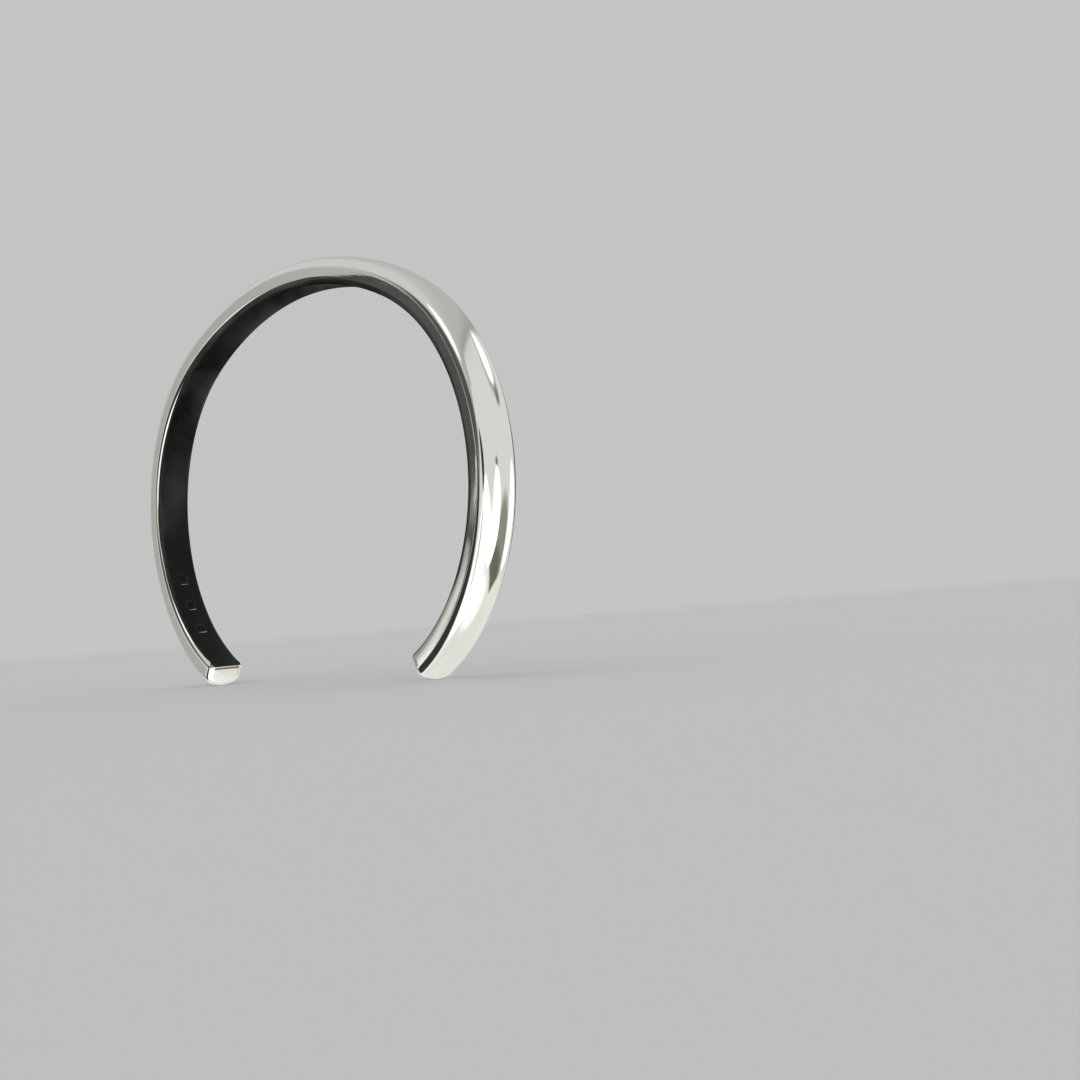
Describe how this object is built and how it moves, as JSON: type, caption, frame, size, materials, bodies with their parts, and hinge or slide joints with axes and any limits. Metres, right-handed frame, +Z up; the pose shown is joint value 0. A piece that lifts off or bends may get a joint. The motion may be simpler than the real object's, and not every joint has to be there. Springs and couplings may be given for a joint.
{
  "type": "open cuff bangle",
  "caption": "Plain open cuff bangle: a solid polished silver bar bent into an oval C, with a crowned outer face and softened terminals.",
  "frame": {"origin": "under the middle of the cuff, level with the lowest points of its two terminals, half way across the bar's width", "axes": "+Y along the axis that the wrist passes through, across the bar's width; +X along the cuff's widest direction, towards the terminal without punch marks; +Z up to the middle of the bar's back, away from the gap"},
  "size_m": [0.066, 0.0044, 0.0456],
  "materials": {
    "polished_silver": "mirror-polished sterling silver"
  },
  "bodies": {
    "root": {"cuff_band": "polished_silver"}
  },
  "joints": []
}
